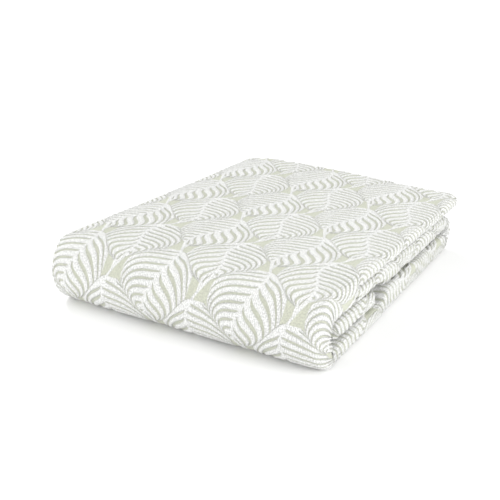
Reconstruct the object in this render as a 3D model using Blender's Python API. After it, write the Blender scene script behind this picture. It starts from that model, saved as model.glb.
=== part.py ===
# A jacquard bedspread, folded and laid flat.
# One woven panel is folded along its width into a strip of six layers. The strip is then
# folded along its length: a lip on top, round the front to the bottom, up at the back into
# a second run, and in again at the front to a short run. Metres, +Z up, on the plane z = 0.

import math
from collections import namedtuple

import bmesh
import bpy
from mathutils import Vector

# Cloth, and the section of its six-layer strip
CLOTH = 0.0022              # thickness of the quilted weave
OUTER, MIDDLE, INNER = 5, 3, 1      # layers above the strip's middle, in half pitches from it
FOLD_REACH = 0.010          # longest sideways reach of the strip's round right fold
INNER_FOLD_INSET = 0.0245   # inner folds, from the right fold
FREE_EDGE_INSET = 0.005     # the panel's two side edges, from the left folds
LEFT_STOP = 0.030           # further points of a layer, from the strip's left and right
RIGHT_STOP = 0.045
FOLD_STEPS = 3              # facets of a small fold
ROUND_FOLD_STEPS = 6        # facets of the round right fold

# Turns and ends of the strip, as places along Y
FRONT_TURN = -0.2028
INNER_TURN = -0.1945
BACK_TURN = 0.190
LIP_END = 0.2435
SHORT_END = -0.070
FRONT_TURN_REACH = 0.93     # the front turn is a little flatter than round
FRONT_TURN_STEPS = 8
BACK_TURN_STEPS = 6
INNER_TURN_STEPS = 5
INNER_TURN_SQUEEZE = 0.85   # share of its depth left to the strip in its inner turn
TURN_EASE = 0.4             # share of a turn after which its right side changes over

# Behind the short run the two runs round it close up, between these places along Y
CLOSE_START = -0.068
CLOSE_END = -0.021

# Faces and sides of each run, at the front and at the back
Run = namedtuple("Run", "low_front low_back high_front high_back left_front left_back right_front right_back")
LIP = Run(0.0678, 0.0678, 0.0850, 0.0850, -0.1850, -0.1840, 0.1850, 0.1810)
SECOND = Run(0.0422, 0.0336, 0.0671, 0.0671, -0.1795, -0.1815, 0.1820, 0.1785)
SHORT = Run(0.0203, 0.0203, 0.0415, 0.0415, -0.1775, -0.1775, 0.1790, 0.1790)
BOTTOM = Run(0.0, 0.0, 0.0197, 0.0328, -0.1825, -0.1795, 0.1858, 0.1810)
LEVEL_PLACES = (0.112, 0.046, CLOSE_END, -0.0445, CLOSE_START)

# At the front right the lip's round fold hangs over the second run, which lies further in
HANG = 1.28                 # added depth of the lip's fold, as a share of its depth
HANG_WIDTH = 0.020
HANG_FULL = 0.004           # from the lip's right side, where the hang is full
HANG_FRONT = -0.168
HANG_BACK = -0.146
HANG_STEPS = (-0.1530, -0.1605)
HANG_TURN = (40.0, 110.0)   # degrees of the front turn over which it fades
SECOND_INSET = 0.0215       # the second run lies further in under the hanging fold
SECOND_INSET_FRONT = -0.150
SECOND_INSET_BACK = -0.127
SECOND_INSET_STEPS = (-0.135, -0.142)

# Settling of the packet
BACK_DROP = 0.0125          # the top lies lower at the back
SIDE_DROP = 0.0038          # and along the left side
SIDE_WIDTH = 0.034
SIDE_RECESS = 0.006         # the front turn's left end lies further back
RECESS_LENGTH = 0.030       # of the front turn, over which it grows
WAVE = 0.0007               # height of two slow waves, with their turns a metre and start
WAVE_ACROSS = (16.0, 0.6)
WAVE_ALONG = (12.0, 1.0)
BACK_SKEW = 0.022           # the back edge runs forward to the right
SKEW_LEFT = -0.05
SKEW_RIGHT = 0.19
CORNER = 0.012              # round corners of the strip's ends, in plan
CORNER_PLACES = (0.001, 0.004, CORNER)

WHITE_AND_SAGE = (0.80, 0.81, 0.76, 1.0)
SHARP_ANGLE = 60.0

Station = namedtuple("Station", "y z lean depth left right hang")


def smooth(start, end, value):
    share = min(max((value - start) / (end - start), 0.0), 1.0)
    return share * share * (3.0 - 2.0 * share)


def mix(first, second, share):
    return first + (second - first) * share


def level_station(run, y, hang=0.0, inset=0.0):
    """The strip's section where a run lies level; its outer side faces up or down."""
    closed = smooth(CLOSE_START, CLOSE_END, y)
    low = mix(run.low_front, run.low_back, closed)
    high = mix(run.high_front, run.high_back, closed)
    along = (y - FRONT_TURN) / (BACK_TURN - FRONT_TURN)
    left = mix(run.left_front, run.left_back, along)
    right = mix(run.right_front, run.right_back, along)
    lean = 0.0 if run in (LIP, SECOND) else math.pi
    return Station(y, (low + high) / 2, lean, high - low, left, right - inset, hang)


def corner_inset(distance):
    """Sideways inset that rounds a corner in plan, at a distance from the strip's end."""
    return CORNER - math.sqrt(CORNER ** 2 - (CORNER - distance) ** 2)


def turn_stations(first, last, steps, reach, squeeze=1.0):
    """Sections of a half turn between two runs; a round turn has a reach of 1, or -1 at the front."""
    radius = abs(first.z - last.z) / 2
    stations = []
    for step in range(1, steps):
        share = step / steps
        angle = math.pi * share
        fade = smooth(HANG_TURN[0], HANG_TURN[1], math.degrees(angle))
        stations.append(Station(
            y=mix(first.y, last.y, share) + reach * radius * math.sin(angle),
            z=(first.z + last.z + (first.z - last.z) * math.cos(angle)) / 2,
            lean=first.lean + angle,
            depth=mix(first.depth, last.depth, share) * mix(1.0, squeeze, math.sin(angle)),
            left=mix(first.left, last.left, share),
            right=mix(first.right, last.right, smooth(TURN_EASE, 1.0, share)),
            hang=first.hang * (1.0 - fade),
        ))
    return stations


def lip_stations():
    stations = []
    for distance in CORNER_PLACES:
        inset = corner_inset(distance)
        level = level_station(LIP, LIP_END - distance, inset=inset)
        stations.append(level._replace(left=level.left + inset))
    places = LEVEL_PLACES + (SECOND_INSET_BACK, HANG_BACK) + HANG_STEPS + (HANG_FRONT,)
    for y in (BACK_TURN,) + places + (FRONT_TURN,):
        hang = HANG * (1.0 - smooth(HANG_FRONT, HANG_BACK, y))
        stations.append(level_station(LIP, y, hang=hang))
    return stations


def second_stations():
    stations = []
    places = LEVEL_PLACES + (SECOND_INSET_BACK,) + SECOND_INSET_STEPS + (SECOND_INSET_FRONT,)
    for y in (BACK_TURN,) + places + (INNER_TURN,):
        inset = SECOND_INSET * (1.0 - smooth(SECOND_INSET_FRONT, SECOND_INSET_BACK, y))
        stations.append(level_station(SECOND, y, inset=inset))
    return stations


def strip_stations():
    """All sections of the strip, from the end of the lip to the end of the short run."""
    lip = lip_stations()
    bottom = [level_station(BOTTOM, y) for y in (FRONT_TURN,) + LEVEL_PLACES[::-1] + (BACK_TURN,)]
    second = second_stations()
    short = [level_station(SHORT, INNER_TURN)]
    for distance in CORNER_PLACES[::-1]:
        short.append(level_station(SHORT, SHORT_END - distance, inset=corner_inset(distance)))
    front_turn = turn_stations(lip[-1], bottom[0], FRONT_TURN_STEPS, -FRONT_TURN_REACH)
    back_turn = turn_stations(bottom[-1], second[0], BACK_TURN_STEPS, 1.0)
    inner_turn = turn_stations(second[-1], short[0], INNER_TURN_STEPS, -1.0, INNER_TURN_SQUEEZE)
    return lip + front_turn + bottom + back_turn + second + inner_turn + short


def half_turn(centre_x, centre_offset, reach, rise, steps):
    """Points of a fold, from the layer above to the layer below."""
    angles = [math.pi * step / steps for step in range(1, steps)]
    return [(centre_x + reach * math.sin(a), centre_offset + rise * math.cos(a)) for a in angles]


def middle_line(station):
    """Middle of the cloth across the strip, as sideways places and offsets from its middle."""
    half = (station.depth - CLOTH) / (2 * OUTER)
    reach = min(OUTER * half, FOLD_REACH)
    left = station.left + CLOTH / 2 + half
    free = station.left + FREE_EDGE_INSET
    right = station.right - CLOTH / 2 - reach
    inner = station.right - INNER_FOLD_INSET - half
    stops = [station.left + LEFT_STOP, 0.0, station.right - RIGHT_STOP]

    outer_layer = [(x, OUTER * half) for x in [left] + stops + [station.right - HANG_WIDTH, right]]
    middle_layer = [(x, MIDDLE * half) for x in [left] + stops + [inner]]
    inner_layer = [(x, INNER * half) for x in [free] + stops + [inner]]
    upper = (
        outer_layer[::-1]
        + half_turn(left, (OUTER + MIDDLE) / 2 * half, -half, half, FOLD_STEPS)
        + middle_layer
        + half_turn(inner, (MIDDLE + INNER) / 2 * half, half, half, FOLD_STEPS)
        + inner_layer[::-1]
    )
    lower = [(x, -offset) for x, offset in reversed(upper)]
    round_fold = half_turn(right, 0.0, reach, -OUTER * half, ROUND_FOLD_STEPS)
    return lower + round_fold + upper


def hang_fold(station, x, offset):
    """Deepens the strip's round fold below its upper face."""
    top = station.depth / 2
    hang = station.hang * smooth(station.right - HANG_WIDTH, station.right - HANG_FULL, x)
    return Vector((x, top - (top - offset) * (1.0 + hang)))


def settle(station, x, y, z):
    """The packet sinks towards its back and its left side, and is uneven."""
    along = max(0.0, (y - FRONT_TURN) / (BACK_TURN - FRONT_TURN))
    side = 1.0 - smooth(station.left, station.left + SIDE_WIDTH, x)
    front = smooth(FRONT_TURN, FRONT_TURN - RECESS_LENGTH, station.y)
    waves = math.sin(WAVE_ACROSS[0] * x + WAVE_ACROSS[1]) + math.sin(WAVE_ALONG[0] * y + WAVE_ALONG[1])
    drop = BACK_DROP * along + SIDE_DROP * side + WAVE * waves
    skew = BACK_SKEW * smooth(SKEW_LEFT, SKEW_RIGHT, x) * smooth(0.0, BACK_TURN, y)
    return Vector((x, y - skew + SIDE_RECESS * side * front, z - drop * min(z / LIP.low_front, 1.0)))


def skin_points(station):
    """Points of both faces of the cloth at one section."""
    middle = [hang_fold(station, x, offset) for x, offset in middle_line(station)]
    skins = ([], [])
    for index, point in enumerate(middle):
        before = point - middle[index - 1] if index > 0 else middle[1] - point
        after = middle[index + 1] - point if index < len(middle) - 1 else before
        normal = (before.normalized() + after.normalized()).orthogonal().normalized()
        mitre = CLOTH / 2 / normal.dot(before.orthogonal().normalized())
        for skin, side in zip(skins, (-1.0, 1.0)):
            x, offset = point + normal * mitre * side
            y = station.y - offset * math.sin(station.lean)
            z = station.z + offset * math.cos(station.lean)
            skin.append(settle(station, x, y, z))
    return skins


def fold_cloth(name):
    """The whole panel: a flat block one cloth thick, moved point by point into its folds."""
    rows = [skin_points(station) for station in strip_stations()]
    across = len(rows[0][0])
    cloth = bmesh.new()
    bmesh.ops.create_grid(cloth, x_segments=across - 1, y_segments=len(rows) - 1, size=1.0)
    for index, vertex in enumerate(cloth.verts):
        vertex.co = (index % across, index // across, 0.0)
    raised = bmesh.ops.extrude_face_region(cloth, geom=cloth.faces[:], use_keep_orig=True)["geom"]
    upper = [item for item in raised if isinstance(item, bmesh.types.BMVert)]
    bmesh.ops.translate(cloth, vec=(0.0, 0.0, 1.0), verts=upper)
    for vertex in cloth.verts:
        column, row, side = (round(place) for place in vertex.co)
        vertex.co = rows[row][side][column]
    bmesh.ops.recalc_face_normals(cloth, faces=cloth.faces)
    mesh = bpy.data.meshes.new(name)
    cloth.to_mesh(mesh)
    cloth.free()
    return bpy.data.objects.new(name, mesh)


def jacquard_material():
    material = bpy.data.materials.new("white_and_sage_jacquard")
    material.use_nodes = True
    shader = material.node_tree.nodes["Principled BSDF"]
    shader.inputs["Base Color"].default_value = WHITE_AND_SAGE
    shader.inputs["Roughness"].default_value = 0.9
    shader.inputs["Metallic"].default_value = 0.0
    return material


def main():
    for item in list(bpy.data.objects):
        bpy.data.objects.remove(item, do_unlink=True)
    collection = bpy.data.collections.new("jacquard_bedspread")
    bpy.context.scene.collection.children.link(collection)
    bedspread = fold_cloth("bedspread_cloth")
    bedspread.data.materials.append(jacquard_material())
    collection.objects.link(bedspread)
    bedspread.data.shade_smooth()
    bedspread.data.set_sharp_from_angle(angle=math.radians(SHARP_ANGLE))


main()
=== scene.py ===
import math

import bmesh
import bpy
import numpy as np
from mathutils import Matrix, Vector


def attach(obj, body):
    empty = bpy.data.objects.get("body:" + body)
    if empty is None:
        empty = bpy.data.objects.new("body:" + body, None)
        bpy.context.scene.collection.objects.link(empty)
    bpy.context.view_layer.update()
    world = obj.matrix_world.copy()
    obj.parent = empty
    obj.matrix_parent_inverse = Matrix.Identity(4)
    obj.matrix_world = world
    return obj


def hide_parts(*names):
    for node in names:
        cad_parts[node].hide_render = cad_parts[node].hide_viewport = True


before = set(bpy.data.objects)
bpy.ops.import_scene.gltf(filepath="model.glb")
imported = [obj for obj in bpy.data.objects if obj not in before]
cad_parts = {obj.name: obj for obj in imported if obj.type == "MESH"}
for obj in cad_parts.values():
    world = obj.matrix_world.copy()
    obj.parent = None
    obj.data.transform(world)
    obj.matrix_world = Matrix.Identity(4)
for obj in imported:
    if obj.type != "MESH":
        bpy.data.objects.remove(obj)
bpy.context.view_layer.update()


# shader maths as plain expressions on sockets
class Wire:
    def __init__(self, nodes, socket):
        self.nodes = nodes
        self.socket = socket

    def math(self, operation, *others, swap=False):
        values = [self, *others]
        if swap:
            values.reverse()
        return self.nodes.add("ShaderNodeMath", {"operation": operation}, dict(enumerate(values)))

    def __add__(self, other):
        return self.math("ADD", other)

    def __sub__(self, other):
        return self.math("SUBTRACT", other)

    def __mul__(self, other):
        return self.math("MULTIPLY", other)

    def __truediv__(self, other):
        return self.math("DIVIDE", other)

    def __pow__(self, other):
        return self.math("POWER", other)

    def __rsub__(self, other):
        return self.math("SUBTRACT", other, swap=True)

    def __rtruediv__(self, other):
        return self.math("DIVIDE", other, swap=True)

    def __neg__(self):
        return self.math("MULTIPLY", -1.0)

    __radd__ = __add__
    __rmul__ = __mul__


class Nodes:
    def __init__(self, material):
        self.tree = material.node_tree

    def add(self, kind, settings=None, inputs=None, output=0):
        node = self.tree.nodes.new(kind)
        for name, value in (settings or {}).items():
            setattr(node, name, value)
        for name, value in (inputs or {}).items():
            if isinstance(value, Wire):
                self.tree.links.new(value.socket, node.inputs[name])
            else:
                node.inputs[name].default_value = value
        return Wire(self, node.outputs[output])


# the same sums on arrays for the mesh and on sockets for the material
def absolute(x):
    return x.math("ABSOLUTE") if isinstance(x, Wire) else np.abs(x)


def floor(x):
    return x.math("FLOOR") if isinstance(x, Wire) else np.floor(x)


def sine(x):
    return x.math("SINE") if isinstance(x, Wire) else np.sin(x)


def larger(a, b):
    a, b = (b, a) if isinstance(b, Wire) else (a, b)
    return a.math("MAXIMUM", b) if isinstance(a, Wire) else np.maximum(a, b)


def smaller(a, b):
    return a.math("MINIMUM", b) if isinstance(a, Wire) else np.minimum(a, b)


def isOver(a, b):
    return a.math("GREATER_THAN", b) if isinstance(a, Wire) else np.where(a > b, 1.0, 0.0)


def clamp(x):
    return smaller(larger(x, 0.0), 1.0)


def mix(a, b, share):
    return a + (b - a) * share


def smooth(start, end, x):
    share = clamp((x - start) / (end - start))
    return share * share * (3.0 - 2.0 * share)


# the woven leaves: upright rows in half drop, every second row mirrored; sizes in millimetres, drawn as plain
# curves
leaf = {
    "pitch": 120.0, "period": 136.6,
    "topX": -148.0, "topY": 19.6, "mirrorX": -89.7,     # two leaves' tops, Y from the front turn
    "sway": 11.0, "swayLead": 6.0,     # the midrib's one S-bend
    "stem": 2.0, "stemFoot": 1.0, "footPlaces": (124.0, 108.0),     # its half width, and more at the foot
    # each side's blade: half its width, the place of that down the leaf, half its length; the ribs'
    # spacing and first place; their fall at once, evenly and at the tip, with the share of both
    # at the leaf's top and what its foot adds; the gap's share of a rib at the midrib, and more
    # midway; how far from the midrib a gap is full
    "right": {"half": 48.0, "mid": 56.0, "reach": 60.0, "rib": 12.0, "first": 6.0,
              "start": 32.0, "startShare": (0.8, 0.5),
              "sweep": -6.0, "droop": 30.0, "endShare": (1.0, 0.0),
              "gap": (0.16, 0.22), "clear": 3.0},
    "left": {"half": 46.0, "mid": 54.0, "reach": 62.0, "rib": 10.5, "first": 2.0,
             "start": 10.0, "startShare": (1.0, 0.0),
             "sweep": -6.0, "droop": 30.0, "endShare": (0.4, 1.2),
             "gap": (0.18, 0.12), "clear": 4.5},
    "fullness": 2.4, "startPower": 0.4, "tipPower": 4.0, "lowPlaces": (10.0, 100.0),
    # gaps begin beside the midrib and fade where the blade is narrow and at the leaf's top
    "gapStart": 0.4, "narrow": (7.0, 14.0), "topPlaces": (1.0, 7.0), "leastGap": 0.03,
    "rimBlur": 0.8, "rimShift": 0.3, "gapBlur": 0.12,
    # how far a rib's side and a leaf's edge slope, and how low the edge lies
    "slope": 0.45, "slopeStart": 0.8, "fullDepth": 0.12, "edge": 2.6, "edgeDrop": 0.7,
}
millimetres = 1000.0     # in a metre


def midribAt(q):
    return leaf["sway"] * sine((q + leaf["swayLead"]) * (2.0 * math.pi / leaf["period"]))


def bladeAt(side, q):
    away = absolute((q - side["mid"]) / side["reach"])
    return side["half"] * larger(1.0 - away ** leaf["fullness"], 0.0)


# at p across a leaf and q down from its top: how far inside its outline that lies, and then the
# blade's reach there, the midrib's place and whether it is on the right
def rimAt(p, q):
    midrib = midribAt(q)
    stem = leaf["stem"] + leaf["stemFoot"] * smooth(*leaf["footPlaces"], q)
    rightBlade = bladeAt(leaf["right"], q)
    leftBlade = bladeAt(leaf["left"], q)
    onRight = isOver(p, midrib)
    side = 2.0 * onRight - 1.0
    edge = mix(larger(leftBlade, stem - midrib), larger(rightBlade, midrib + stem), onRight)
    reach = mix(leftBlade, rightBlade, onRight) - midrib * side
    return edge - p * side, (reach, midrib, onRight)


# distance from the nearest gap's middle, and that gap's width, both as shares of a rib
def ribsAt(p, q, reach, midrib, onRight):
    fromMidrib = absolute(p - midrib)
    out = clamp(fromMidrib / larger(reach, 1.0))
    start = out ** leaf["startPower"]
    tip = out ** leaf["tipPower"]
    low = smooth(*leaf["lowPlaces"], q)     # the ribs hang more towards the leaf's foot
    lens = 4.0 * out * (1.0 - out)

    def ribLine(side):
        atOnce = side["start"] * start * (side["startShare"][0] + side["startShare"][1] * low)
        further = side["sweep"] * out + side["droop"] * tip
        fall = atOnce + further * (side["endShare"][0] + side["endShare"][1] * low)
        return (q - fall - side["first"]) / side["rib"]

    def gapWidth(side):
        return side["gap"][0] + side["gap"][1] * lens

    line = mix(ribLine(leaf["left"]), ribLine(leaf["right"]), onRight)
    fromGap = absolute(line - floor(line + 0.5)) * 2.0
    rightGap = gapWidth(leaf["right"]) * isOver(line, -0.5)     # none above the first rib
    clear = mix(leaf["left"]["clear"], leaf["right"]["clear"], onRight)
    near = smooth(leaf["gapStart"], clear, fromMidrib)
    gap = mix(gapWidth(leaf["left"]), rightGap, onRight) * near
    gap = gap * smooth(*leaf["narrow"], reach) * smooth(*leaf["topPlaces"], q)
    return fromGap, gap


# whiteness, height and painted groove shade of the weave at a place on the flat cloth, in metres
def weaveAt(across, along):
    x = across * millimetres
    down = leaf["topY"] - along * millimetres
    plain = (x - leaf["topX"]) / leaf["pitch"]
    mirrored = (leaf["mirrorX"] - x) / leaf["pitch"]
    first = down / leaf["period"]
    second = first + 0.5
    places = (((plain - floor(plain + 0.5)) * leaf["pitch"], (first - floor(first)) * leaf["period"]),
              ((mirrored - floor(mirrored + 0.5)) * leaf["pitch"], (second - floor(second)) * leaf["period"]))
    rims, blades = zip(*[rimAt(p, q) for p, q in places])
    half = (rims[0] - rims[1]) * 0.5     # leaves that overlap meet halfway
    inners = (smaller(rims[0], half), smaller(rims[1], -half))
    white, height, paintedGrooveShade = 0.0, 0.0, 0.0
    for (p, q), blade, inner in zip(places, blades, inners):
        fromGap, gap = ribsAt(p, q, *blade)
        inside = clamp(inner / leaf["rimBlur"] + leaf["rimShift"])
        cut = clamp((gap - fromGap) / leaf["gapBlur"] + 0.5) * isOver(gap, leaf["leastGap"])
        white = larger(white, inside * (1.0 - cut))
        # painted shade: the narrow gaps between ribs are marked darker, standing in for the shadow in them
        paintedGrooveShade = larger(paintedGrooveShade, inside * cut * (1.0 - gap))
        # each rib is padded: steep at its gaps and at the leaf's edge, nearly flat on top
        slope = 1.0 - clamp((fromGap - gap * leaf["slopeStart"]) / leaf["slope"])
        dome = 1.0 - slope * slope * clamp(gap / leaf["fullDepth"])
        edge = 1.0 - clamp(inner / leaf["edge"])
        height = larger(height, inside * dome * (1.0 - edge * edge * leaf["edgeDrop"]))
    return white, height, paintedGrooveShade


# the folded cloth: a six-layer strip, folded again along its length
fold = {
    "cloth": 0.0022, "outer": 5, "middle": 3, "inner": 1,
    "foldReach": 0.010, "innerInset": 0.0245, "freeInset": 0.005,
    "frontTurn": -0.2028, "innerTurn": -0.1945, "backTurn": 0.190, "lipEnd": 0.2435, "shortEnd": -0.070,
    "frontReach": 0.93, "innerSqueeze": 0.85, "turnEase": 0.4,
    "closeStart": -0.068, "closeEnd": -0.044,
    # the lip's round fold hangs at the front right, with closer rows from one place to another
    "hang": 1.28, "hangWidth": 0.020, "hangFull": 0.004, "hangFront": -0.154, "hangBack": -0.137,
    "hangTurn": (90.0, 165.0), "hangDrop": 0.010, "hangRows": (-0.1265, -0.168),
    # how square the round fold is, towards the packet's inside and outside
    "square": {"lip": (2.8, 2.3), "second": (2.8, 2.8), "short": (2.6, 4.5), "bottom": (4.0, 2.8)},
    "roundSteps": 241,
    # how far its layers draw together at the rim, towards the inside and outside, which opens the creases
    "pinch": {"lip": (0.0024, 0.0003), "second": (0.0030, 0.0026), "short": (0.0030, 0.0),
              "bottom": (0.0006, 0.0006)}, "pinchWidth": 0.014,
    # pleats at degrees of the back turn, with their widths; their share of depth outside, and more inside
    "pleats": ((46.0, 5.0), (63.0, 5.0), (81.0, 5.0), (101.0, 6.0)), "pleatDepth": 0.0085,
    "pleatShare": (0.35, 0.65), "pleatStart": 0.12,
    # crinkles: how high on each run; turns along the strip and across, and how far and slowly they stray
    "crinkle": {"lip": 0.0002, "second": 0.0007, "short": 0.0004, "bottom": 0.00025},
    "crinkleWaves": ((620.0, 500.0, 2.0, 90.0, 0.0), (1050.0, -330.0, 1.5, 130.0, 1.0)),
    "rim": (-0.004, 0.006),     # where both begin and are full, from the round fold's start
    "inset": 0.0215, "insetFront": -0.149, "insetBack": -0.132, "shortBack": -0.176,
    "backDrop": 0.0125, "sideDrop": 0.0038, "sideWidth": 0.034, "sideRecess": 0.006, "recessLength": 0.030,
    "wave": 0.0007, "waveAcross": (16.0, 0.6), "waveAlong": (12.0, 1.0),
    "backSkew": 0.022, "skewLeft": -0.05, "skewRight": 0.19,
    "corner": 0.012, "edgeCell": 0.002,     # rounding of the strip's ends, and their outermost cell
    # the raised weave, the level that it leaves in place, the spread of the places averaged for it
    "relief": 0.0014, "reliefLevel": 0.6, "cell": 0.0006,
    "finest": 12, "cuts": 5,     # places worked out in a cell, and cuts of a cell where the weave is raised
    # faces and sides of each run, at the front and at the back
    "lip": {"low": (0.0678, 0.0678), "high": (0.0850, 0.0850),
            "left": (-0.1850, -0.1840), "right": (0.1850, 0.1810), "lean": 0.0},
    "second": {"low": (0.0448, 0.0336), "high": (0.0671, 0.0671),
               "left": (-0.1795, -0.1815), "right": (0.1820, 0.1785), "lean": 0.0},
    "short": {"low": (0.0203, 0.0203), "high": (0.0441, 0.0441),
              "left": (-0.1775, -0.1775), "right": (0.1790, 0.1790), "lean": math.pi},
    "bottom": {"low": (0.0, 0.0), "high": (0.0197, 0.0328),
               "left": (-0.1825, -0.1795), "right": (0.1858, 0.1810), "lean": math.pi},
}

# cells of each stretch across the strip, from the lower free edge up to the upper one
acrossCells = {"inner": 4, "innerFold": 4, "middle": 4, "leftFold": 4, "outer": 8, "roundFold": 6,
               "upperOuter": 27, "upperLeftFold": 4, "upperMiddle": 4, "upperInnerFold": 4, "upperInner": 4}

# cells of each stretch along the strip, from the lip's end to the short run's end
alongCells = {"lipEdge": 1, "lipCorner": 1, "lipTop": 28, "lipHang": 6, "lipFront": 3, "frontTurn": 11,
              "bottomFront": 6, "bottomClosing": 4, "bottomBack": 8, "backTurn": 12,
              "secondBack": 8, "secondClosing": 4, "secondMiddle": 3, "secondInset": 4, "secondFront": 3,
              "innerTurn": 6, "shortTop": 6, "shortCorner": 1, "shortEdge": 1}


# number of the cell with which a stretch begins
def cellStart(cells, name):
    names = list(cells)
    return sum(cells[label] for label in names[:names.index(name)])


# the weave is raised on the top and front, and below them only on the other folds' rims
rowsOnTop = cellStart(alongCells, "bottomFront")
firstRaised = cellStart(acrossCells, "roundFold")
lastRaised = cellStart(acrossCells, "upperMiddle")
lastRaisedBelow = cellStart(acrossCells, "upperOuter") + 1


def levelStation(name, y, hang=0.0, inset=0.0, leftInset=0.0):
    run = fold[name]
    closed = smooth(fold["closeStart"], fold["closeEnd"], y)
    low = mix(*run["low"], closed)
    high = mix(*run["high"], closed)
    along = (y - fold["frontTurn"]) / (fold["backTurn"] - fold["frontTurn"])
    return {
        "y": y, "z": (low + high) / 2.0, "lean": run["lean"], "depth": high - low,
        "left": mix(*run["left"], along) + leftInset,
        "right": mix(*run["right"], along) - inset,
        "hang": hang, "reach": hang,
        "pleat": 0.0,
        "crinkle": fold["crinkle"][name],
        "square": np.array(fold["square"][name]),
        "pinch": np.array(fold["pinch"][name]),
    }


def cornerInset(distance):
    short = max(fold["corner"] - distance, 0.0)
    return fold["corner"] - math.sqrt(fold["corner"] ** 2 - short ** 2)


def lipStation(y):
    inset = cornerInset(fold["lipEnd"] - y)
    hang = fold["hang"] * (1.0 - smooth(fold["hangFront"], fold["hangBack"], y))
    return levelStation("lip", y, hang, inset, inset)


def secondStation(y):
    inset = fold["inset"] * (1.0 - smooth(fold["insetFront"], fold["insetBack"], y))
    return levelStation("second", y, inset=inset)


def shortStation(y):
    inset = fold["inset"] * (1.0 - smooth(fold["innerTurn"], fold["shortBack"], y))
    return levelStation("short", y, inset=inset + cornerInset(fold["shortEnd"] - y))


def bottomStation(y):
    return levelStation("bottom", y)


def turnStation(first, last, reach, squeeze, share):
    angle = math.pi * share
    radius = abs(first["z"] - last["z"]) / 2.0
    fade = smooth(*fold["hangTurn"], math.degrees(angle))
    return {
        "y": mix(first["y"], last["y"], share) + reach * radius * math.sin(angle),
        "z": (first["z"] + last["z"] + (first["z"] - last["z"]) * math.cos(angle)) / 2.0,
        "lean": first["lean"] + angle,
        "depth": mix(first["depth"], last["depth"], share) * mix(1.0, squeeze, math.sin(angle)),
        "left": mix(first["left"], last["left"], share),
        "right": mix(first["right"], last["right"], smooth(fold["turnEase"], 1.0, share)),
        "hang": first["hang"] * (1.0 - fade),
        "reach": first["hang"],
        "pleat": 0.0,
        "crinkle": mix(first["crinkle"], last["crinkle"], share),
        "square": mix(first["square"], last["square"], share),
        "pinch": mix(first["pinch"], last["pinch"], share),
    }


def frontTurn(share):
    return turnStation(lipStation(fold["frontTurn"]), bottomStation(fold["frontTurn"]),
                       -fold["frontReach"], 1.0, share)


def backTurn(share):
    station = turnStation(bottomStation(fold["backTurn"]), secondStation(fold["backTurn"]), 1.0, 1.0, share)
    degrees = share * 180.0
    station["pleat"] = sum(math.exp(-((degrees - angle) / width) ** 2) for angle, width in fold["pleats"])
    return station


def innerTurn(share):
    return turnStation(secondStation(fold["innerTurn"]), shortStation(fold["innerTurn"]),
                       -1.0, fold["innerSqueeze"], share)


# every cell along the strip: what makes its stations, and from where to where
def stripStretches():
    lipEdge = fold["lipEnd"] - fold["edgeCell"]
    lipCorner = fold["lipEnd"] - fold["corner"]
    shortEdge = fold["shortEnd"] - fold["edgeCell"]
    shortCorner = fold["shortEnd"] - fold["corner"]
    hangStart, hangRow = fold["hangRows"]
    stretches = {
        "lipEdge": (lipStation, fold["lipEnd"], lipEdge),
        "lipCorner": (lipStation, lipEdge, lipCorner),
        "lipTop": (lipStation, lipCorner, hangStart),
        "lipHang": (lipStation, hangStart, hangRow),
        "lipFront": (lipStation, hangRow, fold["frontTurn"]),
        "frontTurn": (frontTurn, 0.0, 1.0),
        "bottomFront": (bottomStation, fold["frontTurn"], fold["closeStart"]),
        "bottomClosing": (bottomStation, fold["closeStart"], fold["closeEnd"]),
        "bottomBack": (bottomStation, fold["closeEnd"], fold["backTurn"]),
        "backTurn": (backTurn, 0.0, 1.0),
        "secondBack": (secondStation, fold["backTurn"], fold["closeEnd"]),
        "secondClosing": (secondStation, fold["closeEnd"], fold["closeStart"]),
        "secondMiddle": (secondStation, fold["closeStart"], fold["insetBack"]),
        "secondInset": (secondStation, fold["insetBack"], fold["insetFront"]),
        "secondFront": (secondStation, fold["insetFront"], fold["innerTurn"]),
        "innerTurn": (innerTurn, 0.0, 1.0),
        "shortTop": (shortStation, fold["innerTurn"], shortCorner),
        "shortCorner": (shortStation, shortCorner, shortEdge),
        "shortEdge": (shortStation, shortEdge, fold["shortEnd"]),
    }
    cells = []
    for name, count in alongCells.items():
        make, start, end = stretches[name]
        cells += [(make, mix(start, end, k / count), mix(start, end, (k + 1) / count)) for k in range(count)]
    return cells


# the round fold's half, a power on each of its quarters, at even steps along it
def roundFold(share, right, reach, high, square):
    turn = np.linspace(0.0, np.pi, fold["roundSteps"])
    power = 2.0 / np.where(turn < np.pi / 2.0, *square)
    x = right + reach * np.sin(turn) ** power
    offset = -high * np.sign(np.cos(turn)) * np.abs(np.cos(turn)) ** power
    length = np.concatenate([[0.0], np.cumsum(np.hypot(np.diff(x), np.diff(offset)))])
    return np.interp(share * length[-1], length, x), np.interp(share * length[-1], length, offset)


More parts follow.
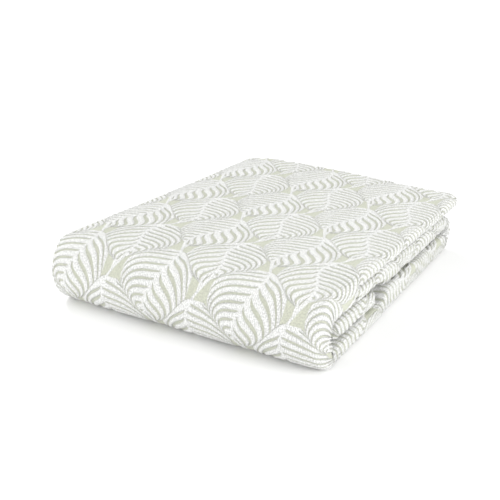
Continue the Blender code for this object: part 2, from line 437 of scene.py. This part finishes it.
# middle of the cloth across the strip at a station, in fine steps: its place across, its offset
# from the strip's middle where the strip lies and where it stands, and its sinking
def acrossLine(station):
    half = (station["depth"] - fold["cloth"]) / (2.0 * fold["outer"])
    reach = min(fold["outer"] * half, fold["foldReach"])
    left = station["left"] + fold["cloth"] / 2.0 + half
    free = station["left"] + fold["freeInset"]
    right = station["right"] - fold["cloth"] / 2.0 - reach
    inner = station["right"] - fold["innerInset"] - half
    layers = {"inner": (free, inner, fold["inner"]), "middle": (inner, left, fold["middle"]),
              "outer": (left, right, fold["outer"])}
    folds = {"innerFold": (inner, half, 2.0), "leftFold": (left, -half, 4.0)}
    xs, offsets = [], []
    for label, cells in acrossCells.items():
        share = np.arange(cells * fold["finest"]) / (cells * fold["finest"])
        upper = label.startswith("upper")
        plain = label[5].lower() + label[6:] if upper else label
        if upper:
            share = 1.0 - share
        if plain in layers:
            start, end, level = layers[plain]
            x = mix(start, end, share)
            offset = np.full(len(share), -level * half)
        elif plain in folds:
            centre, bulge, level = folds[plain]
            x = centre + bulge * np.sin(np.pi * share)
            offset = -level * half + half * np.cos(np.pi * share)
        else:
            x, offset = roundFold(share, right, reach, fold["outer"] * half, station["square"])
        xs.append(x)
        offsets.append(-offset if upper else offset)
    x = np.append(np.concatenate(xs), free)
    offset = np.append(np.concatenate(offsets), fold["inner"] * half)
    top = station["depth"] / 2.0
    pinch = np.where(offset < 0.0, *station["pinch"]) * smooth(right - fold["pinchWidth"], right, x)
    offset = offset * (1.0 - pinch / top)

    # the round fold deepens where it hangs
    near = smooth(station["right"] - fold["hangWidth"], station["right"] - fold["hangFull"], x)
    inward = (top - offset) / station["depth"]
    upright = abs(math.sin(station["lean"]))
    lying = top - (top - offset) * (1.0 + station["hang"] * near)
    standing = top - (top - offset) * (1.0 + station["reach"] * near)
    drop = fold["hangDrop"] * near * inward * upright * (station["reach"] > 0.0)

    # pleats and crinkles on the round fold
    onFold = smooth(right + fold["rim"][0], right + fold["rim"][1], x)
    pleat = fold["pleatShare"][0] + fold["pleatShare"][1] * inward
    x = x - onFold * fold["pleatDepth"] * station["pleat"] * pleat * smooth(0.0, fold["pleatStart"], inward)
    way = station["y"] + station["z"]
    crinkle = sum(np.sin(way * turns + offset * turnsAcross + stray * np.sin(way * slow + lead))
                  for turns, turnsAcross, stray, slow, lead in fold["crinkleWaves"])
    x = x + onFold * station["crinkle"] * (crinkle - 1.0) * 0.5
    return x, lying, standing, drop


# the packet sinks to its back and left side, and is uneven
def settle(station, x, y, z):
    along = np.maximum((y - fold["frontTurn"]) / (fold["backTurn"] - fold["frontTurn"]), 0.0)
    side = 1.0 - smooth(station["left"], station["left"] + fold["sideWidth"], x)
    front = smooth(fold["frontTurn"], fold["frontTurn"] - fold["recessLength"], station["y"])
    waves = (np.sin(fold["waveAcross"][0] * x + fold["waveAcross"][1])
             + np.sin(fold["waveAlong"][0] * y + fold["waveAlong"][1]))
    drop = fold["backDrop"] * along + fold["sideDrop"] * side + fold["wave"] * waves
    drop = drop * np.minimum(z / fold["lip"]["low"][0], 1.0)
    toRight = smooth(fold["skewLeft"], fold["skewRight"], x)
    skew = fold["backSkew"] * toRight * smooth(0.0, fold["backTurn"], y)
    return np.stack([x, y - skew + fold["sideRecess"] * side * front, z - drop], axis=1), skew


# both faces of the cloth at a station: place, way across and skew of each fine column
def facesAt(station):
    x, lying, standing, drop = acrossLine(station)
    offset = mix(lying, standing, math.sin(station["lean"]) ** 2)
    run, rise = np.gradient(x), np.gradient(offset)
    length = np.maximum(np.hypot(run, rise), 1e-9)     # never nothing, for the divisions
    across = np.concatenate([[0.0], np.cumsum(np.hypot(np.diff(x), np.diff(offset)))])
    top = slice(cellStart(acrossCells, "upperOuter") * fold["finest"],
                cellStart(acrossCells, "upperLeftFold") * fold["finest"])
    middle = top.start + int(np.argmin(np.abs(x[top])))
    across = across[middle] + x[middle] - across
    faces = []
    for side in (-0.5, 0.5):
        sideX = x - rise / length * fold["cloth"] * side
        lift = run / length * fold["cloth"] * side
        y = station["y"] - (standing + lift) * math.sin(station["lean"])
        z = station["z"] + (lying + lift) * math.cos(station["lean"]) - drop
        place, skew = settle(station, sideX, y, z)
        faces.append((place, across, skew))
    return faces


# a flat block, a cell for each place in the tables and one cell thick
def makeBlock():
    rows, columns = sum(alongCells.values()), sum(acrossCells.values())
    cloth = bmesh.new()
    bmesh.ops.create_grid(cloth, x_segments=columns, y_segments=rows, size=1.0)
    for index, vertex in enumerate(cloth.verts):
        vertex.co = (index % (columns + 1), index // (columns + 1), 0.0)
    extruded = bmesh.ops.extrude_face_region(cloth, geom=cloth.faces[:], use_keep_orig=True)["geom"]
    upper = [part for part in extruded if isinstance(part, bmesh.types.BMVert)]
    bmesh.ops.translate(cloth, vec=(0.0, 0.0, 1.0), verts=upper)

    # finer cells where the weave is raised
    def refine(lastColumn, firstRow, lastRow):
        slack = 0.01

        def within(vertex):
            x, y, z = vertex.co
            return (z < 0.5 and firstRaised - slack < x < lastColumn + slack
                    and firstRow - slack < y < lastRow + slack)

        edges = [edge for edge in cloth.edges if all(within(vertex) for vertex in edge.verts)]
        bmesh.ops.subdivide_edges(cloth, edges=edges, cuts=fold["cuts"], use_grid_fill=True)

    refine(lastRaised, 0, rowsOnTop)
    refine(lastRaisedBelow, rowsOnTop, rows)
    print("cells", len(cloth.faces))
    return cloth


# every point of the block goes to its place in the folds, and has its place on the flat cloth
def foldBlock(column, row, side):
    cells = stripStretches()
    fine = fold["finest"]
    places, flat = np.zeros((len(row), 3)), np.zeros((len(row), 2))
    centre = (cellStart(acrossCells, "upperOuter") + cellStart(acrossCells, "upperLeftFold")) // 2 * fine
    along, previous, alongs = 0.0, None, []
    for fineRow in range(len(cells) * fine + 1):
        cell = min(fineRow // fine, len(cells) - 1)
        make, start, end = cells[cell]
        faces = facesAt(make(mix(start, end, fineRow / fine - cell)))
        here = faces[0][0][centre]
        if previous is not None:
            along += math.dist(here, previous)
        previous = here
        alongs.append(along)
        members = np.nonzero(row == fineRow)[0]
        for face in (0, 1):
            chosen = members[side[members] == face]
            place, across, skew = faces[face]
            places[chosen] = place[column[chosen]]
            flat[chosen, 0] = across[column[chosen]]
            flat[chosen, 1] = -along - skew[column[chosen]]
    flat[:, 1] += alongs[cellStart(alongCells, "frontTurn") * fine]
    return places, flat


# how far each point is raised by the weave, by the mean of its cell
def weaveLift(column, row, side, flat):
    fine = fold["finest"]
    steps = (-fold["cell"], 0.0, fold["cell"])
    heights = [weaveAt(flat[:, 0] + i, flat[:, 1] + j)[1] for i in steps for j in steps]
    height = sum(heights) / len(heights)
    lastColumn = np.where(row <= rowsOnTop * fine, lastRaised, lastRaisedBelow) * fine
    raised = (side == 0) & (column >= firstRaised * fine) & (column <= lastColumn)
    return fold["relief"] * (height - fold["reliefLevel"]) * raised


def makeCloth():
    cloth = makeBlock()
    grid = np.array([vertex.co for vertex in cloth.verts])
    column = np.rint(grid[:, 0] * fold["finest"]).astype(int)
    row = np.rint(grid[:, 1] * fold["finest"]).astype(int)
    side = np.rint(grid[:, 2]).astype(int)
    places, flat = foldBlock(column, row, side)
    for vertex, place in zip(cloth.verts, places):
        vertex.co = place
    bmesh.ops.recalc_face_normals(cloth, faces=cloth.faces)
    mesh = bpy.data.meshes.new("bedspreadSheet")
    cloth.to_mesh(mesh)
    cloth.free()
    uv = mesh.uv_layers.new(name="flatCloth")
    loops = np.zeros(len(mesh.loops), dtype=int)
    mesh.loops.foreach_get("vertex_index", loops)
    uv.data.foreach_set("uv", flat[loops].astype(np.float32).ravel())
    mesh.shade_smooth()

    # the weave is raised along the surface, and nothing sinks into the floor
    normals = np.zeros(len(row) * 3)
    mesh.vertices.foreach_get("normal", normals)
    places = places + normals.reshape(-1, 3) * weaveLift(column, row, side, flat)[:, None]
    places[:, 2] = np.maximum(places[:, 2], 0.0)
    mesh.vertices.foreach_set("co", places.astype(np.float32).ravel())
    mesh.update()
    triangles = sum(len(face.vertices) - 2 for face in mesh.polygons)
    print("sheet", len(mesh.vertices), "points,", triangles, "triangles")
    sheet = bpy.data.objects.new("bedspreadSheet", mesh)
    bpy.context.scene.collection.objects.link(sheet)
    return sheet


# white raised yarn over a sage ground, each with a duller colour that the flock brings out, and a painted
# shade colour for the narrow gaps between ribs
yarn = {
    "white": (0.78, 0.782, 0.77, 1.0), "dull": (0.50, 0.505, 0.49, 1.0),
    "sage": (0.55, 0.565, 0.465, 1.0), "shade": (0.42, 0.43, 0.365, 1.0), "paintedGrooveShade": (0.34, 0.35, 0.30, 1.0),
    "paintedGrooveShadeShare": 0.35,
    "threadAcross": 0.0024, "threadAlong": 0.0018, "threadShare": (0.6, 0.4),
    "flockScale": 520.0, "flockDetail": 2.0,
    "groundFlock": 3.0, "groundShift": 0.95,
    "whiteFlock": 3.5, "whiteThreads": 0.38, "whiteShift": 1.25,
    "reliefThreads": 0.16, "reliefFlock": 0.34, "bumpStrength": 0.95, "bumpDistance": 0.0014,
    "roughness": 0.92, "sheen": 0.1, "specular": 0.2,
}


def makeJacquard():
    material = bpy.data.materials.new("jacquardCloth")
    material.use_nodes = True
    nodes = Nodes(material)
    shader = material.node_tree.nodes["Principled BSDF"]
    place = nodes.add("ShaderNodeUVMap", {"uv_map": "flatCloth"})
    across = nodes.add("ShaderNodeSeparateXYZ", None, {0: place})
    along = Wire(nodes, across.socket.node.outputs[1])
    white, height, paintedGrooveShade = weaveAt(across, along)
    columns = sine(across * (2.0 * math.pi / yarn["threadAcross"]))
    rows = sine(along * (2.0 * math.pi / yarn["threadAlong"]))
    threads = columns * (yarn["threadShare"][0] + yarn["threadShare"][1] * rows)
    flock = nodes.add("ShaderNodeTexNoise", None,
                      {"Vector": place, "Scale": yarn["flockScale"], "Detail": yarn["flockDetail"]})

    def blend(first, second, share):
        return nodes.add("ShaderNodeMix", {"data_type": "RGBA"}, {6: first, 7: second, 0: share}, 2)

    ground = blend(yarn["shade"], yarn["sage"], clamp(flock * yarn["groundFlock"] - yarn["groundShift"]))
    # painted shade: the ground darkens towards the groove colour in narrow gaps, standing in for their shadow
    ground = blend(ground, yarn["paintedGrooveShade"], paintedGrooveShade * yarn["paintedGrooveShadeShare"])
    bright = flock * yarn["whiteFlock"] + threads * yarn["whiteThreads"] - yarn["whiteShift"]
    raised = blend(yarn["dull"], yarn["white"], clamp(bright))
    face = blend(ground, raised, white)
    relief = height + yarn["reliefThreads"] * threads + yarn["reliefFlock"] * flock
    bump = nodes.add("ShaderNodeBump", None,
                     {"Strength": yarn["bumpStrength"], "Distance": yarn["bumpDistance"], "Height": relief})
    material.node_tree.links.new(face.socket, shader.inputs["Base Color"])
    material.node_tree.links.new(bump.socket, shader.inputs["Normal"])
    shader.inputs["Roughness"].default_value = yarn["roughness"]
    shader.inputs["Sheen Weight"].default_value = yarn["sheen"]
    shader.inputs["Specular IOR Level"].default_value = yarn["specular"]
    return material


sheet = makeCloth()
sheet.data.materials.append(makeJacquard())
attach(sheet, "root")
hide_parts("bedspread_cloth")
print("cloth folded and woven")

stage = {"size": 16.0, "colour": (0.95, 0.95, 0.95, 1.0), "roughness": 0.9, "gap": 0.0002}


def makeFloor():
    floorMesh = bpy.data.meshes.new("paleFloor")
    plane = bmesh.new()
    bmesh.ops.create_grid(plane, x_segments=1, y_segments=1, size=stage["size"] / 2.0)
    bmesh.ops.translate(plane, vec=(0.0, 0.0, -stage["gap"]), verts=plane.verts)
    plane.to_mesh(floorMesh)
    plane.free()
    material = bpy.data.materials.new("paleFloor")
    material.use_nodes = True
    shader = material.node_tree.nodes["Principled BSDF"]
    shader.inputs["Base Color"].default_value = stage["colour"]
    shader.inputs["Roughness"].default_value = stage["roughness"]
    floorMesh.materials.append(material)
    floorObject = bpy.data.objects.new("paleFloor", floorMesh)
    bpy.context.scene.collection.objects.link(floorObject)
    return floorObject


makeFloor()

light = {
    "sky": 0.79,
    "key": {"from": (-1.5, 0.9, 1.25), "power": 1.65, "softness": 20.0},
    "fills": {
        "left": {"place": (-2.6, -0.8, 0.45), "size": 1.4, "power": 29.0},
        "front": {"place": (-1.4, -2.4, 0.4), "size": 1.6, "power": 31.0},
        "right": {"place": (2.3, -0.5, 1.0), "size": 1.6, "power": 47.0},
    },
}


def makeLights():
    world = bpy.data.worlds.new("paleStudio")
    world.use_nodes = True
    background = world.node_tree.nodes["Background"]
    background.inputs["Color"].default_value = (1.0, 1.0, 1.0, 1.0)
    background.inputs["Strength"].default_value = light["sky"]
    bpy.context.scene.world = world
    bpy.context.scene.view_settings.view_transform = "Standard"

    # each lamp faces the packet
    def hang(data, place):
        lampObject = bpy.data.objects.new(data.name, data)
        lampObject.location = place
        lampObject.rotation_euler = (-Vector(place)).to_track_quat("-Z", "Y").to_euler()
        bpy.context.scene.collection.objects.link(lampObject)

    key = bpy.data.lights.new("window", "SUN")
    key.energy = light["key"]["power"]
    key.angle = math.radians(light["key"]["softness"])
    hang(key, light["key"]["from"])
    for name, fill in light["fills"].items():
        data = bpy.data.lights.new(name, "AREA")
        data.size = fill["size"]
        data.energy = fill["power"]
        hang(data, fill["place"])


makeLights()

camera = {"place": (0.5205, -0.9436, 0.4723), "down": 22.49, "turn": 30.70, "lens": 61.91, "sensor": 36.0,
          "clip": (0.05, 20.0)}


def makeCamera():
    data = bpy.data.cameras.new("photoView")
    data.lens = camera["lens"]
    data.sensor_width = camera["sensor"]
    data.clip_start, data.clip_end = camera["clip"]
    cameraObject = bpy.data.objects.new("photoView", data)
    cameraObject.location = camera["place"]
    cameraObject.rotation_euler = (math.radians(90.0 - camera["down"]), 0.0, math.radians(camera["turn"]))
    bpy.context.scene.collection.objects.link(cameraObject)
    bpy.context.scene.camera = cameraObject


makeCamera()
print("stage, lights and camera set")
